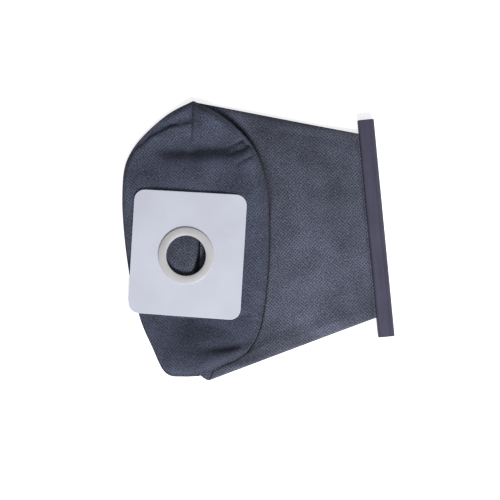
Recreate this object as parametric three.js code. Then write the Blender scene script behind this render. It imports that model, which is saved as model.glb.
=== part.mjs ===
// A reusable cloth dust bag for a vacuum cleaner, lying flat as it is stored.
// Three sewn cloth panels, a stiff inlet collar with a rubber seal, and a plastic channel
// that slides over the folded tail and closes it. Millimetres, +Z up, +X from inlet to tail,
// +Y along the closing clip. The origin is the middle of the footprint, on the surface below.
import * as THREE from "three";

// Cloth
const clothThickness = 0.8;
const clearance = 0.3; // air left between two pieces that touch
const plyPitch = clothThickness + clearance; // from one ply's middle to the next one's

// Plan of the tube, seen from above
const tailX = 150; // where the cloth enters the clip
const tailEdges = [-80, 83];
const upperCorner = [5.7, 125.6]; // the side seams run from these two corners to the tail
const lowerCorner = [-4.3, -121.7];

// Edge of the end panel that is sewn to the front panel, from the lower corner to the upper one
const frontSeamPoints = [
  lowerCorner, [1, -112.5], [10, -108], [21, -104.5], [32.5, -97.5], [41.5, -85.5],
  [47.5, -70], [53, -46.5], [57.5, -20], [61, 10.5], [62.5, 37], [59, 65.5],
  [53, 81.5], [43, 95.5], [34, 105.5], [23.5, 114], upperCorner,
];
// Edge of the end panel that is sewn to the back panel, from the lower corner to the upper one
const backSeamPoints = [
  lowerCorner, [-10.5, -117], [-25, -115.5], [-37.5, -113.5], [-43, -108.5], [-51, -86.5],
  [-58, -64.5], [-63.5, -28.5], [-65.5, 14], [-64, 49.5], [-59, 75], [-49.5, 90.5],
  [-35, 104], [-15, 117.5], upperCorner,
];
const frontSeamStart = 0.045; // the end panel stops short of the lower corner by these shares
const backSeamStart = 0.03;

// Heights of the cloth above the surface
const seamLift = 1.5; // how far a seam curls up off the surface
const seamCurl = 8; // and over what distance
const tubePuff = [[-10, 4.4], [0, 4.7], [28, 7.4], [59, 9.5], [95, 6.8], [128, 2.3], [tailX, 0]];
const puffPower = 0.75; // how the puff falls off towards the side seams, 0.5 being a half ellipse
const tailRamp = 40; // the back panel rises to the clip over this length

// Tuck: the front panel folds back under the end panel. V runs from -1 to 1 along its seam.
const tuckDepth = 59;
const tuckShallowest = 2; // the tuck that is left at both corners
const tuckPower = 4; // how squarely the tuck keeps its depth between them
const tuckRadius = 0.65; // of the fold, to the middle of the cloth
const tuckGape = 2.2; // how far the tuck gapes at its mouth
const gapeOpens = [0.2, 0.75]; // along V
const gapeCloses = [0.9, 1];
const upperTuckEnd = [0.88, 0.96]; // stretches of V where the end panel's back edge climbs on the tuck
const lowerTuckEnd = [-0.93, -0.8];

// Inlet: the hole, the collar and the seal share one tilted plane
const inlet = [-12.6, -9.5];
const inletHeight = 11.8; // middle of the cloth, at the hole's centre
const inletTilt = THREE.MathUtils.degToRad(7.4);
const collarTurn = THREE.MathUtils.degToRad(-9);
const collarWidth = 101;
const collarLength = 110;
const collarThickness = 1.5;
const collarCorner = 9.5;
const holeOffset = [-0.6, -1.2]; // the hole's centre, from the collar's middle

// Seal
const boreRadius = 17.75;
const neckWall = 2;
const neckRadius = 21.8;
const sealFlangeRadius = 25;
const sealFlange = 1.2;
const sealLip = 1; // thickness of the lip's edge, at the bore
const sealLipRoot = 1.2; // and where it leaves the neck
const sealLipDrop = 0.35; // the lip's edge lies this far under the flange's face
const sealFootRadius = 24.6;
const sealFoot = 1;
const holeRadius = neckRadius + clearance; // in the collar and in the cloth

// Slope of the end panel, with shares of a ray from the hole's centre
const flatPastCollar = 0.03;
const flatAtMost = 0.86;
const slopePower = 1.7; // above 1, so that the cloth leaves the collar's plane without a crease
const foldOnset = 4; // the folds are at full depth after a quarter of the slope
const foldEnd = 6; // and die out only close to the rim

// Folds across the end panel: from, to, half width, depth
const endPanelFolds = [
  { from: [-22, 88], to: [39, 80], width: 7, depth: 3 },
  { from: [-5, -94], to: [29, -92], width: 5, depth: 2 },
  { from: [-41, 96], to: [3, 108], width: 4, depth: 1 },
];

// Closing clip
const clipLength = 194;
const clipWidth = 14.6;
const clipHeight = 8;
const clipWall = 1.5;
const clipMouth = 2.6;
const clipOffset = -1.5; // its middle, along Y, from the bag's
const clipSpineRadius = 3.2;
const clipLipRadius = 1.2;
const clipGroove = { fromSpine: 4.2, width: 1.2, depth: 0.5 };

// Folded tail inside the clip, measured from the mouth
const mouthHeight = clipHeight / 2;
const tailLead = 0.5; // straight past the clip's lip
const tailStepLength = 2.5;
const tailStep = plyPitch; // then the plies step up by this much
const tailSpineGap = 1.45; // air between the turned plies and the spine
const tailTurn = clipWidth - clipWall - tailSpineGap - clothThickness / 2 - tailStep - plyPitch / 2;
const tailReturn = 4.3; // where the folded end stops

// Mesh densities, and stations along the front panel as shares of each stretch
const frontRows = 30;
const backRows = 22;
const backColumns = 18;
const endPanelRays = 64;
const endPanelRings = 11;
const tailTurnSteps = 6;
const sealSides = 48;
const collarCornerSteps = 12;
const clipCornerSteps = 6;
const tuckStations = [0, 0.12, 0.3, 0.5, 0.7, 0.88];
const creaseTurns = [0.5, 0.75, 1, 1.25, 1.5]; // half turns round the tuck's fold
const tubeStations = [0.08, 0.16, 0.25, 0.34, 0.43, 0.52, 0.61, 0.7, 0.78, 0.86, 0.94];

const cloth = new THREE.MeshStandardMaterial({ color: 0x565b6e, roughness: 0.95, metalness: 0 });
const collarBoard = new THREE.MeshStandardMaterial({ color: 0xcfd1df, roughness: 0.5, metalness: 0 });
const sealRubber = new THREE.MeshStandardMaterial({ color: 0xcccdc6, roughness: 0.6, metalness: 0 });
const clipPlastic = new THREE.MeshStandardMaterial({ color: 0x54535f, roughness: 0.4, metalness: 0 });

const mix = THREE.MathUtils.lerp;
const ease = THREE.MathUtils.smoothstep;
const clamp = THREE.MathUtils.clamp;
const spread = (count) => Array.from({ length: count }, (_, i) => i / (count - 1));

const curveThrough = (points) => {
  const places = points.map(([x, y]) => new THREE.Vector3(x, y, 0));
  return new THREE.CatmullRomCurve3(places, false, "centripetal");
};
const frontSeam = curveThrough(frontSeamPoints);
const backSeam = curveThrough(backSeamPoints);

// Height over x of a smooth line through a few points
function profile(points) {
  const last = points.length - 1;
  const slope = (a, b) => (points[b][1] - points[a][1]) / (points[b][0] - points[a][0]);
  return (x) => {
    const i = points.findIndex((_, k) => k === last || x < points[k + 1][0]);
    if (i === last) return points[last][1];
    const [x0, h0] = points[i];
    const [x1, h1] = points[i + 1];
    const w = x1 - x0;
    const s = Math.max((x - x0) / w, 0);
    const startSlope = slope(Math.max(i - 1, 0), i + 1);
    const endSlope = slope(i, Math.min(i + 2, last));
    return h0 * (1 + 2 * s) * (1 - s) ** 2 + h1 * s * s * (3 - 2 * s) +
      startSlope * w * s * (1 - s) ** 2 - endSlope * w * s * s * (1 - s);
  };
}
const puffAt = profile(tubePuff);

// Distance of a point in plan from the nearer side seam
function sideDistance(x, y) {
  const inside = ([cornerX, cornerY], tailY, sign) =>
    (mix(cornerY, tailY, (x - cornerX) / (tailX - cornerX)) - y) * sign;
  const fromLower = inside(lowerCorner, tailEdges[0], -1);
  const fromUpper = inside(upperCorner, tailEdges[1], 1);
  return Math.max(Math.min(fromLower, fromUpper), 0);
}
const curl = (distance) => seamLift * Math.exp(-((distance / seamCurl) ** 2));

// Middle of the back panel's cloth: flat on the surface, curled at its seams, raised to the clip
function backHeight(x, y, fromBackSeam) {
  const tail = ease(x, tailX - tailRamp, tailX);
  const edge = Math.max(curl(sideDistance(x, y)), curl(fromBackSeam));
  return mix(clothThickness / 2 + edge, mouthHeight - plyPitch / 2, tail);
}

// Middle of the front panel's lower ply
function frontHeight(x, y, v) {
  return backHeight(x, y, Infinity) + plyPitch + puffAt(x) * (1 - v * v) ** puffPower;
}

const tuckAt = (v) => mix(tuckDepth, tuckShallowest, Math.abs(v) ** tuckPower);

// Middle of the front panel's upper ply, which runs back under the end panel
function tuckHeight(x, y, v, toMouth) {
  const gape = tuckGape * ease(v, ...gapeOpens) * (1 - ease(v, ...gapeCloses));
  return frontHeight(x, y, v) + 2 * tuckRadius + gape * toMouth ** 2;
}

// Plies of the tail: into the clip, a small step up, round, and back. Ply is 1 or -1.
function tailPath(ply) {
  const start = mouthHeight + ply * plyPitch / 2;
  const top = start + tailStep;
  const radius = top - mouthHeight;
  const stepX = clipWall + tailLead;
  const path = [[0, start], [stepX, start], [stepX + tailStepLength, top]];
  for (let i = 0; i <= tailTurnSteps; i++) {
    const a = Math.PI * (0.5 - i / tailTurnSteps);
    path.push([tailTurn + radius * Math.cos(a), mouthHeight + radius * Math.sin(a)]);
  }
  path.push([tailReturn, mouthHeight - radius]);
  return path.map(([x, z]) => [tailX + x, z]);
}

// A closed solid of even thickness around a grid of points. The grid may close on itself along i.
function sheet(grid, closed = false) {
  const rows = grid.length;
  const columns = grid[0].length;
  const row = (i) => grid[closed ? (i + rows) % rows : clamp(i, 0, rows - 1)];
  const at = (i, j) => row(i)[clamp(j, 0, columns - 1)];
  const positions = [];
  for (const side of [1, -1]) {
    grid.forEach((points, i) => points.forEach((point, j) => {
      const along = at(i + 1, j).clone().sub(at(i - 1, j));
      const across = at(i, j + 1).clone().sub(at(i, j - 1));
      const normal = along.cross(across).normalize();
      const moved = point.clone().addScaledVector(normal, side * clothThickness / 2);
      positions.push(moved.x, moved.y, moved.z);
    }));
  }
  const under = rows * columns;
  const id = (i, j) => (i % rows) * columns + j;
  const index = [];
  const quad = (a, b, c, d) => index.push(a, b, c, a, c, d);
  const wall = (a, b) => quad(a + under, b + under, b, a);
  const steps = closed ? rows : rows - 1;
  for (let i = 0; i < steps; i++) {
    for (let j = 0; j < columns - 1; j++) {
      quad(id(i, j), id(i + 1, j), id(i + 1, j + 1), id(i, j + 1));
      quad(under + id(i, j), under + id(i, j + 1), under + id(i + 1, j + 1), under + id(i + 1, j));
    }
    wall(id(i, 0), id(i + 1, 0));
    wall(id(i + 1, columns - 1), id(i, columns - 1));
  }
  for (let j = 0; !closed && j < columns - 1; j++) {
    wall(id(0, j + 1), id(0, j));
    wall(id(rows - 1, j), id(rows - 1, j + 1));
  }
  const geometry = new THREE.BufferGeometry();
  geometry.setAttribute("position", new THREE.Float32BufferAttribute(positions, 3));
  geometry.setIndex(index);
  return geometry;
}

// Front panel: from its seam with the end panel, back under it, round the tuck and out to the tail
function frontPanelGrid() {
  return spread(frontRows).map((s) => {
    const v = 2 * s - 1;
    const seam = frontSeam.getPointAt(s);
    const creaseX = seam.x - tuckAt(v);
    const tailY = mix(...tailEdges, s);
    const row = tuckStations.map((k) => {
      const x = mix(seam.x, creaseX, k);
      return new THREE.Vector3(x, seam.y, tuckHeight(x, seam.y, v, 1 - k));
    });
    const foldHeight = frontHeight(creaseX, seam.y, v) + tuckRadius;
    for (const turn of creaseTurns) {
      const x = creaseX + tuckRadius * Math.cos(turn * Math.PI);
      row.push(new THREE.Vector3(x, seam.y, foldHeight + tuckRadius * Math.sin(turn * Math.PI)));
    }
    for (const k of tubeStations) {
      const x = mix(creaseX, tailX, k);
      const y = mix(seam.y, tailY, k);
      row.push(new THREE.Vector3(x, y, frontHeight(x, y, v)));
    }
    for (const [x, z] of tailPath(1)) row.push(new THREE.Vector3(x, tailY, z));
    return row;
  }).reverse();
}

// Back panel: from its seam with the end panel, along the surface and up to the tail
function backPanelGrid() {
  return spread(backRows).map((s) => {
    const seam = backSeam.getPointAt(s);
    const tailY = mix(...tailEdges, s);
    const row = spread(backColumns).slice(0, -1).map((k) => {
      const x = mix(seam.x, tailX, k);
      const y = mix(seam.y, tailY, k);
      return new THREE.Vector3(x, y, backHeight(x, y, x - seam.x));
    });
    for (const [x, z] of tailPath(-1)) row.push(new THREE.Vector3(x, tailY, z));
    return row;
  }).reverse();
}

// Rim of the end panel, all the way round, each point resting one ply above what it is sewn to
function endPanelRim() {
  const half = endPanelRays / 2;
  const onTuck = (v) => Math.max(ease(v, ...upperTuckEnd), 1 - ease(v, ...lowerTuckEnd));
  const rim = [];
  for (let i = 0; i < half; i++) {
    const s = mix(frontSeamStart, 1, i / half);
    const p = frontSeam.getPointAt(s);
    rim.push(p.setZ(tuckHeight(p.x, p.y, 2 * s - 1, 1) + plyPitch));
  }
  for (let i = 0; i < half; i++) {
    const s = mix(1, backSeamStart, i / half);
    const p = backSeam.getPointAt(s);
    const climb = onTuck(2 * s - 1) * (2 * tuckRadius + plyPitch);
    rim.push(p.setZ(backHeight(p.x, p.y, 0) + plyPitch + climb));
  }
  return rim;
}

const inletCentre = new THREE.Vector3(inlet[0], inlet[1], inletHeight);
const inletPlane = (x) => inletHeight + Math.tan(inletTilt) * (x - inlet[0]);

// How far along a ray from the hole's centre the collar reaches, as a share of the ray
function collarReach(awayX, awayY) {
  const ray = new THREE.Vector2(awayX, awayY).rotateAround(new THREE.Vector2(), -collarTurn);
  const sideways = (collarWidth / 2 - holeOffset[0] * Math.sign(ray.x)) / Math.abs(ray.x);
  const lengthways = (collarLength / 2 - holeOffset[1] * Math.sign(ray.y)) / Math.abs(ray.y);
  return Math.min(sideways, lengthways);
}

// How deep the folds are at a place on the end panel
function foldDrop(x, y) {
  const here = new THREE.Vector3(x, y, 0);
  return endPanelFolds.reduce((sum, { from, to, width, depth }) => {
    const line = new THREE.Line3(new THREE.Vector3(...from, 0), new THREE.Vector3(...to, 0));
    const nearest = line.closestPointToPoint(here, true, new THREE.Vector3());
    return sum + depth * Math.exp(-((here.distanceTo(nearest) / width) ** 2));
  }, 0);
}

// End panel: flat under the collar, then rounded down to its rim, with the hole in the middle
function endPanelGrid() {
  return endPanelRim().map((rim) => {
    const awayX = rim.x - inlet[0];
    const awayY = rim.y - inlet[1];
    const start = holeRadius / Math.hypot(awayX, awayY);
    const flat = Math.min(collarReach(awayX, awayY) + flatPastCollar, flatAtMost);
    return spread(endPanelRings).map((k) => {
      const reach = mix(start, 1, k);
      const x = inlet[0] + awayX * reach * mix(Math.cos(inletTilt), 1, k);
      const y = inlet[1] + awayY * reach;
      const down = clamp((reach - flat) / (1 - flat), 0, 1);
      const fold = foldDrop(x, y) * Math.min(down * foldOnset, 1) * (1 - down ** foldEnd);
      return new THREE.Vector3(x, y, mix(inletPlane(x), rim.z, down ** slopePower) - fold);
    });
  });
}

// Collar: a flat board with round corners and a hole, its hole centred on the group's origin
function collarPlate() {
  const right = collarWidth / 2 - holeOffset[0];
  const left = right - collarWidth;
  const top = collarLength / 2 - holeOffset[1];
  const bottom = top - collarLength;
  const r = collarCorner;
  const outline = new THREE.Shape();
  outline.moveTo(left + r, bottom);
  outline.lineTo(right - r, bottom).absarc(right - r, bottom + r, r, -Math.PI / 2, 0, false);
  outline.lineTo(right, top - r).absarc(right - r, top - r, r, 0, Math.PI / 2, false);
  outline.lineTo(left + r, top).absarc(left + r, top - r, r, Math.PI / 2, Math.PI, false);
  outline.lineTo(left, bottom + r).absarc(left + r, bottom + r, r, Math.PI, Math.PI * 1.5, false);
  outline.holes.push(new THREE.Path().absarc(0, 0, holeRadius, 0, Math.PI * 2, true));
  const board = new THREE.ExtrudeGeometry(outline, {
    depth: collarThickness, bevelEnabled: false, curveSegments: collarCornerSteps,
  });
  return board.translate(0, 0, clothThickness / 2 + clearance);
}

// Seal: a rubber grommet. Its flange lies on the collar, its foot under the cloth, its lip in the bore.
function inletSeal() {
  const under = -clothThickness / 2 - clearance;
  const over = clothThickness / 2 + 2 * clearance + collarThickness;
  const top = over + sealFlange;
  const inner = neckRadius - neckWall;
  const rounding = sealFlange / 2;
  const corner = rounding * (1 - Math.SQRT1_2);
  const section = [
    [boreRadius, top - sealLipDrop - sealLip], [inner, top - sealLipRoot], [inner, under - sealFoot],
    [sealFootRadius, under - sealFoot], [sealFootRadius, under], [neckRadius, under],
    [neckRadius, over], [sealFlangeRadius, over], [sealFlangeRadius, top - rounding],
    [sealFlangeRadius - corner, top - corner], [sealFlangeRadius - rounding, top], [inner, top],
    [boreRadius, top - sealLipDrop], [boreRadius, top - sealLipDrop - sealLip],
  ];
  const lathe = new THREE.LatheGeometry(section.map(([r, z]) => new THREE.Vector2(r, z)), sealSides);
  return lathe.rotateX(Math.PI / 2);
}

// Closing clip: a channel with a narrow mouth towards the bag and a groove along its spine
function closingClip() {
  const h = clipHeight / 2;
  const lip = clipLipRadius;
  const spine = clipSpineRadius;
  const bend = spine - clipWall;
  const turn = clipWidth - spine; // the centre of the spine's round edges
  const groove = clipWidth - clipGroove.fromSpine;
  const section = new THREE.Shape();
  section.moveTo(lip, -h);
  section.lineTo(turn, -h).absarc(turn, -h + spine, spine, -Math.PI / 2, 0, false);
  section.lineTo(clipWidth, h - spine).absarc(turn, h - spine, spine, 0, Math.PI / 2, false);
  section.lineTo(groove + clipGroove.width / 2, h).lineTo(groove, h - clipGroove.depth);
  section.lineTo(groove - clipGroove.width / 2, h).lineTo(lip, h);
  section.absarc(lip, h - lip, lip, Math.PI / 2, Math.PI, false);
  section.lineTo(0, clipMouth / 2).lineTo(clipWall, clipMouth / 2).lineTo(clipWall, h - clipWall);
  section.lineTo(turn, h - clipWall).absarc(turn, h - spine, bend, Math.PI / 2, 0, true);
  section.lineTo(clipWidth - clipWall, -h + spine).absarc(turn, -h + spine, bend, 0, -Math.PI / 2, true);
  section.lineTo(clipWall, -h + clipWall).lineTo(clipWall, -clipMouth / 2).lineTo(0, -clipMouth / 2);
  section.lineTo(0, -h + lip).absarc(lip, -h + lip, lip, Math.PI, Math.PI * 1.5, false);
  const bar = new THREE.ExtrudeGeometry(section, {
    depth: clipLength, bevelEnabled: false, curveSegments: clipCornerSteps,
  });
  return bar.translate(0, 0, -clipLength / 2).rotateX(Math.PI / 2);
}

function part(name, geometry, material) {
  const mesh = new THREE.Mesh(geometry, material);
  mesh.name = name;
  return mesh;
}

const bag = new THREE.Group();
bag.add(part("back_panel", sheet(backPanelGrid()), cloth));
bag.add(part("front_panel", sheet(frontPanelGrid()), cloth));
bag.add(part("end_panel", sheet(endPanelGrid(), true), cloth));

const turned = new THREE.Group();
turned.rotation.z = collarTurn;
turned.add(part("collar_plate", collarPlate(), collarBoard));
turned.add(part("inlet_seal", inletSeal(), sealRubber));
const tilted = new THREE.Group();
tilted.position.copy(inletCentre);
tilted.rotation.y = -inletTilt;
tilted.add(turned);
bag.add(tilted);

const clip = part("closing_clip", closingClip(), clipPlastic);
clip.position.set(tailX, clipOffset, clipHeight / 2);
bag.add(clip);

// The origin goes to the middle of the footprint, on the surface below
const extent = new THREE.Box3().setFromObject(bag, true);
const middle = extent.getCenter(new THREE.Vector3());
bag.position.set(-middle.x, -middle.y, -extent.min.z);

export default bag;
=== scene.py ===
import bisect
import math
import bmesh
import bpy
from mathutils import Matrix, Vector, noise


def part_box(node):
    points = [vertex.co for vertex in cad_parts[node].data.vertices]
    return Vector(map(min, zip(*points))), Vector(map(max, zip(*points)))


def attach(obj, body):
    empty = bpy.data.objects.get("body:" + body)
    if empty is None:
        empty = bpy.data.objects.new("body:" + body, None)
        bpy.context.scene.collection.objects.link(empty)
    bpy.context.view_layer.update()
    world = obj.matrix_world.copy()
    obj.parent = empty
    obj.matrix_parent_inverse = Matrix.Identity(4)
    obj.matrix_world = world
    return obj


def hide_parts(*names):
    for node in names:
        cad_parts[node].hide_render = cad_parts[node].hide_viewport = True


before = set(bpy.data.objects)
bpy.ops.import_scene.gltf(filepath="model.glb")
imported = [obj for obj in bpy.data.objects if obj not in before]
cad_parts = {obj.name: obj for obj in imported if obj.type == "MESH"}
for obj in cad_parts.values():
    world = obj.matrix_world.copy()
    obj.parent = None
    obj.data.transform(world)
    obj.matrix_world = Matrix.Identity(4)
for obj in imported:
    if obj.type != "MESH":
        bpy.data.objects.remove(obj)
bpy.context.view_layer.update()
mm = 0.001

# Plan and heights of the sewn bag in millimetres, as it was cut and laid
bag = {
    "tailX": 150, "tailEdges": (-80, 83),
    "upperCorner": (5.7, 125.6), "lowerCorner": (-4.3, -121.7),
    "frontSeam": [
        (-4.3, -121.7), (1, -112.5), (10, -108), (21, -104.5), (32.5, -97.5), (41.5, -85.5),
        (47.5, -70), (53, -46.5), (57.5, -20), (61, 10.5), (62.5, 37), (59, 65.5),
        (53, 81.5), (43, 95.5), (34, 105.5), (23.5, 114), (5.7, 125.6)],
    "backSeam": [
        (-4.3, -121.7), (-10.5, -117), (-25, -115.5), (-37.5, -113.5), (-43, -108.5), (-51, -86.5),
        (-58, -64.5), (-63.5, -28.5), (-65.5, 14), (-64, 49.5), (-59, 75), (-49.5, 90.5),
        (-35, 104), (-15, 117.5), (5.7, 125.6)],
    "frontSeamStart": 0.045, "backSeamStart": 0.03,     # the end panel stops short of the lower corner
    "cloth": 0.8, "clearance": 0.3, "ply": 1.1,
    "seamLift": 1.5, "seamCurl": 8,
    "puff": [(-10, 0.6), (0, 0.7), (28, 3.2), (59, 9.5), (95, 7.5), (128, 3.2), (150, 0)],
    "sideRolls": [(2.6, 5), (6, 27)],       # height and width of the fold on either side
    "sideRollShare": 0.62, "rollsMeet": 0.4,
    "puffPower": 0.75, "tailRamp": 40,
    "tuckDepth": 59, "tuckShallowest": 0.6, "tuckPower": 4, "tuckRadius": 0.65,
    "tuckGape": 2.2, "gapeOpens": (0.2, 0.75), "gapeCloses": (0.9, 1),
    "inlet": (-12.6, -9.5), "inletHeight": 11.8, "inletTilt": math.radians(7.4),
    "collarTurn": math.radians(-9), "collarSize": (101, 110),
    "holeRadius": 22.1, "holeOffset": (-0.6, -1.2),     # the hole's centre, from the collar's middle
    "clipHeight": 8, "clipOffset": -1.5,
}

clipLow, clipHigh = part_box("closing_clip")
shift = Vector((clipLow.x / mm - bag["tailX"], (clipLow.y + clipHigh.y) / 2 / mm - bag["clipOffset"], 0))


def onFrame(x, y, z):
    return (Vector((x, y, z)) + shift) * mm


def mix(a, b, t):
    return a + (b - a) * t


def ease(x, low, high):
    t = min(max((x - low) / (high - low), 0), 1)
    return t * t * (3 - 2 * t)


def hermite(a, b, pullA, pullB, t):
    return (a * (1 + 2 * t) * (1 - t) ** 2 + b * t * t * (3 - 2 * t)
            + pullA * t * (1 - t) ** 2 - pullB * t * t * (1 - t))


def walkAlong(points, steps=24):  # a smooth line through the points, walked by its share of length
    p = [Vector(q) for q in points]
    p = [2 * p[0] - p[1]] + p + [2 * p[-1] - p[-2]]
    line = []
    for a, b, c, d in zip(p, p[1:], p[2:], p[3:]):
        before, here, after = ((n - m).length ** 0.5 for m, n in ((a, b), (b, c), (c, d)))
        pullB = ((b - a) / before - (c - a) / (before + here) + (c - b) / here) * here
        pullC = ((c - b) / here - (d - b) / (here + after) + (d - c) / after) * here
        line += [hermite(b, c, pullB, pullC, i / steps) for i in range(steps)]
    line.append(p[-2])
    reached = [0.0]
    for a, b in zip(line, line[1:]):
        reached.append(reached[-1] + (b - a).length)

    def at(share):
        goal = share * reached[-1]
        low, high = 0, len(reached) - 2
        while low < high:
            middle = (low + high + 1) // 2
            low, high = (middle, high) if reached[middle] <= goal else (low, middle - 1)
        return line[low].lerp(line[low + 1], (goal - reached[low]) / (reached[low + 1] - reached[low]))
    at.length = reached[-1]
    return at


frontSeam = walkAlong(bag["frontSeam"])
backSeam = walkAlong(bag["backSeam"])


def puffAt(x):
    puff = bag["puff"]
    last = len(puff) - 1
    i = next(k for k in range(last + 1) if k == last or x < puff[k + 1][0])
    if i == last:
        return puff[last][1]

    def slope(a, b):
        return (puff[b][1] - puff[a][1]) / (puff[b][0] - puff[a][0])
    (x0, h0), (x1, h1) = puff[i], puff[i + 1]
    w = x1 - x0
    pull0, pull1 = slope(max(i - 1, 0), i + 1) * w, slope(i, min(i + 2, last)) * w
    return hermite(h0, h1, pull0, pull1, max((x - x0) / w, 0))


def sideDistances(x, y):  # from the lower and from the upper side seam
    def inside(corner, tailY, sign):
        seamY = mix(corner[1], tailY, (x - corner[0]) / (bag["tailX"] - corner[0]))
        return max((seamY - y) * sign, 0)
    lowEdge, highEdge = bag["tailEdges"]
    return inside(bag["lowerCorner"], lowEdge, -1), inside(bag["upperCorner"], highEdge, 1)


def curl(distance):
    return bag["seamLift"] * math.exp(-(distance / bag["seamCurl"]) ** 2)


mouthHeight = bag["clipHeight"] / 2


def backHeight(x, y, fromSeam=math.inf):
    tail = ease(x, bag["tailX"] - bag["tailRamp"], bag["tailX"])
    edge = max(curl(min(sideDistances(x, y))), curl(fromSeam))
    return mix(bag["cloth"] / 2 + edge, mouthHeight - bag["ply"] / 2, tail)


def frontHeight(x, y, v):
    puff = puffAt(x)
    rolls = []
    for distance, (height, width) in zip(sideDistances(x, y), bag["sideRolls"]):
        near = 1 - min(distance / width, 1)
        roll = min(height, puff * bag["sideRollShare"])
        rolls.append((roll, roll * math.sqrt(1 - near * near)))
    upper = ease(v, -bag["rollsMeet"], bag["rollsMeet"])
    roll, rolled = (mix(low, high, upper) for low, high in zip(*rolls))
    rise = rolled + (puff - roll) * max(1 - v * v, 0) ** bag["puffPower"]
    return backHeight(x, y) + bag["ply"] + rise


inletX, inletY = bag["inlet"]


def inletPlane(x):
    return bag["inletHeight"] + math.tan(bag["inletTilt"]) * (x - inletX)


def tuckAt(v):
    return mix(bag["tuckDepth"], bag["tuckShallowest"], abs(v) ** bag["tuckPower"])


def tuckHeight(x, y, v, toMouth):
    gape = bag["tuckGape"] * ease(v, *bag["gapeOpens"]) * (1 - ease(v, *bag["gapeCloses"]))
    return frontHeight(x, y, v) + 2 * bag["tuckRadius"] + gape * toMouth ** 2


def paintedLightAndShadeAt(paintedLightAndShade, x, y):  # painted shade at a place, and painted light where the amount is below nought
    return sum(amount * math.exp(-((x - middleX) / reachX) ** 2 - ((y - middleY) / reachY) ** 2)
               for middleX, middleY, reachX, reachY, amount in paintedLightAndShade)


def wave(setting, x, y):  # smooth noise, set by its height, size and seed
    height, size, seed = setting
    return height * noise.noise(Vector((x / size, y / size, seed)))


def bentGrid(bm, columns, rows, place):
    # a flat grid, then each vertex moved to place(i, j) -> (point, flat place as UV, painted shading)
    creaseLayer = bm.verts.layers.float.get("crease") or bm.verts.layers.float.new("crease")
    made = bmesh.ops.create_grid(bm, x_segments=columns, y_segments=rows, size=0.5)
    uvLayer = bm.loops.layers.uv.verify()
    flatAt = {}
    for vert in made["verts"]:
        i, j = round((vert.co.x + 0.5) * columns), round((vert.co.y + 0.5) * rows)
        point, flatAt[vert], vert[creaseLayer] = place(i, j)
        vert.co = onFrame(*point)
    for face in {f for vert in made["verts"] for f in vert.link_faces}:
        for loop in face.loops:
            loop[uvLayer].uv = Vector(flatAt[loop.vert]) * mm
    return made["verts"]


def addToScene(name, data):
    thing = bpy.data.objects.new(name, data)
    bpy.context.scene.collection.objects.link(thing)
    return thing


def finishPiece(bm, name, material, body, sharpAngle=None):
    mesh = bpy.data.meshes.new(name)
    bm.to_mesh(mesh)
    bm.free()
    mesh.shade_smooth()
    if sharpAngle:
        mesh.set_sharp_from_angle(angle=math.radians(sharpAngle))
    mesh.materials.append(material)
    piece = addToScene(name, mesh)
    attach(piece, body)
    return piece


def giveWall(piece, thickness):
    wall = piece.modifiers.new("wall", "SOLIDIFY")
    wall.thickness = thickness * mm
    wall.offset = 0


# A small kit for the node materials
def newMaterial(name, colour, roughness, **more):
    material = bpy.data.materials.new(name)
    material.use_nodes = True
    shader = material.node_tree.nodes["Principled BSDF"]
    shader.inputs["Base Color"].default_value = (*colour, 1)
    shader.inputs["Roughness"].default_value = roughness
    for socket, value in more.items():
        shader.inputs[socket.replace("_", " ")].default_value = value
    return material, material.node_tree, shader


def addNode(tree, kind, settings=None, **inputs):
    node = tree.nodes.new(kind)
    for key, value in (settings or {}).items():
        setattr(node, key, value)
    for key, value in inputs.items():
        socket = node.inputs[int(key[1:])] if key[1:].isdigit() else node.inputs[key.replace("_", " ")]
        if isinstance(value, bpy.types.NodeSocket):
            tree.links.new(value, socket)
        else:
            socket.default_value = value
    return node


def maths(tree, operation, a, b=0.0):
    return addNode(tree, "ShaderNodeMath", {"operation": operation}, i0=a, i1=b).outputs[0]


def placeOn(tree, kind="Object"):
    return addNode(tree, "ShaderNodeTexCoord").outputs[kind]


def speckle(tree, where, scale, detail, roughness=0.5, output="Fac"):
    node = addNode(tree, "ShaderNodeTexNoise", Vector=where, Scale=scale, Detail=detail, Roughness=roughness)
    return node.outputs[output]


def blend(tree, *parts):  # patterns added up, each with its share
    total = None
    for pattern, share in parts:
        part = maths(tree, "MULTIPLY", pattern, share)
        total = part if total is None else maths(tree, "ADD", total, part)
    return total


def tint(colour, share):
    return tuple(c * share for c in colour)


def giveBump(tree, shader, height, depth, strength):
    bump = addNode(tree, "ShaderNodeBump", Height=height, Distance=depth * mm, Strength=strength)
    tree.links.new(bump.outputs[0], shader.inputs["Normal"])


def giveRoughness(tree, shader, pattern, low, high, **span):
    node = addNode(tree, "ShaderNodeMapRange", Value=pattern, To_Min=low, To_Max=high, **span)
    tree.links.new(node.outputs[0], shader.inputs["Roughness"])


def ramp(tree, fac, low, high, colourLow, colourHigh):
    node = addNode(tree, "ShaderNodeMapRange", {"data_type": "FLOAT_VECTOR"}, Vector=fac)
    node.inputs[7].default_value = (low,) * 3
    node.inputs[8].default_value = (high,) * 3
    node.inputs[9].default_value = colourLow
    node.inputs[10].default_value = colourHigh
    return node.outputs["Vector"]


def giveTones(tree, shader, pattern, piece):  # the piece's colour, from dull to pale with the pattern
    dull, pale = (tint(piece["colour"], share) for share in piece["shades"])
    tree.links.new(ramp(tree, pattern, *piece["toneSpan"], dull, pale), shader.inputs["Base Color"])


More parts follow.
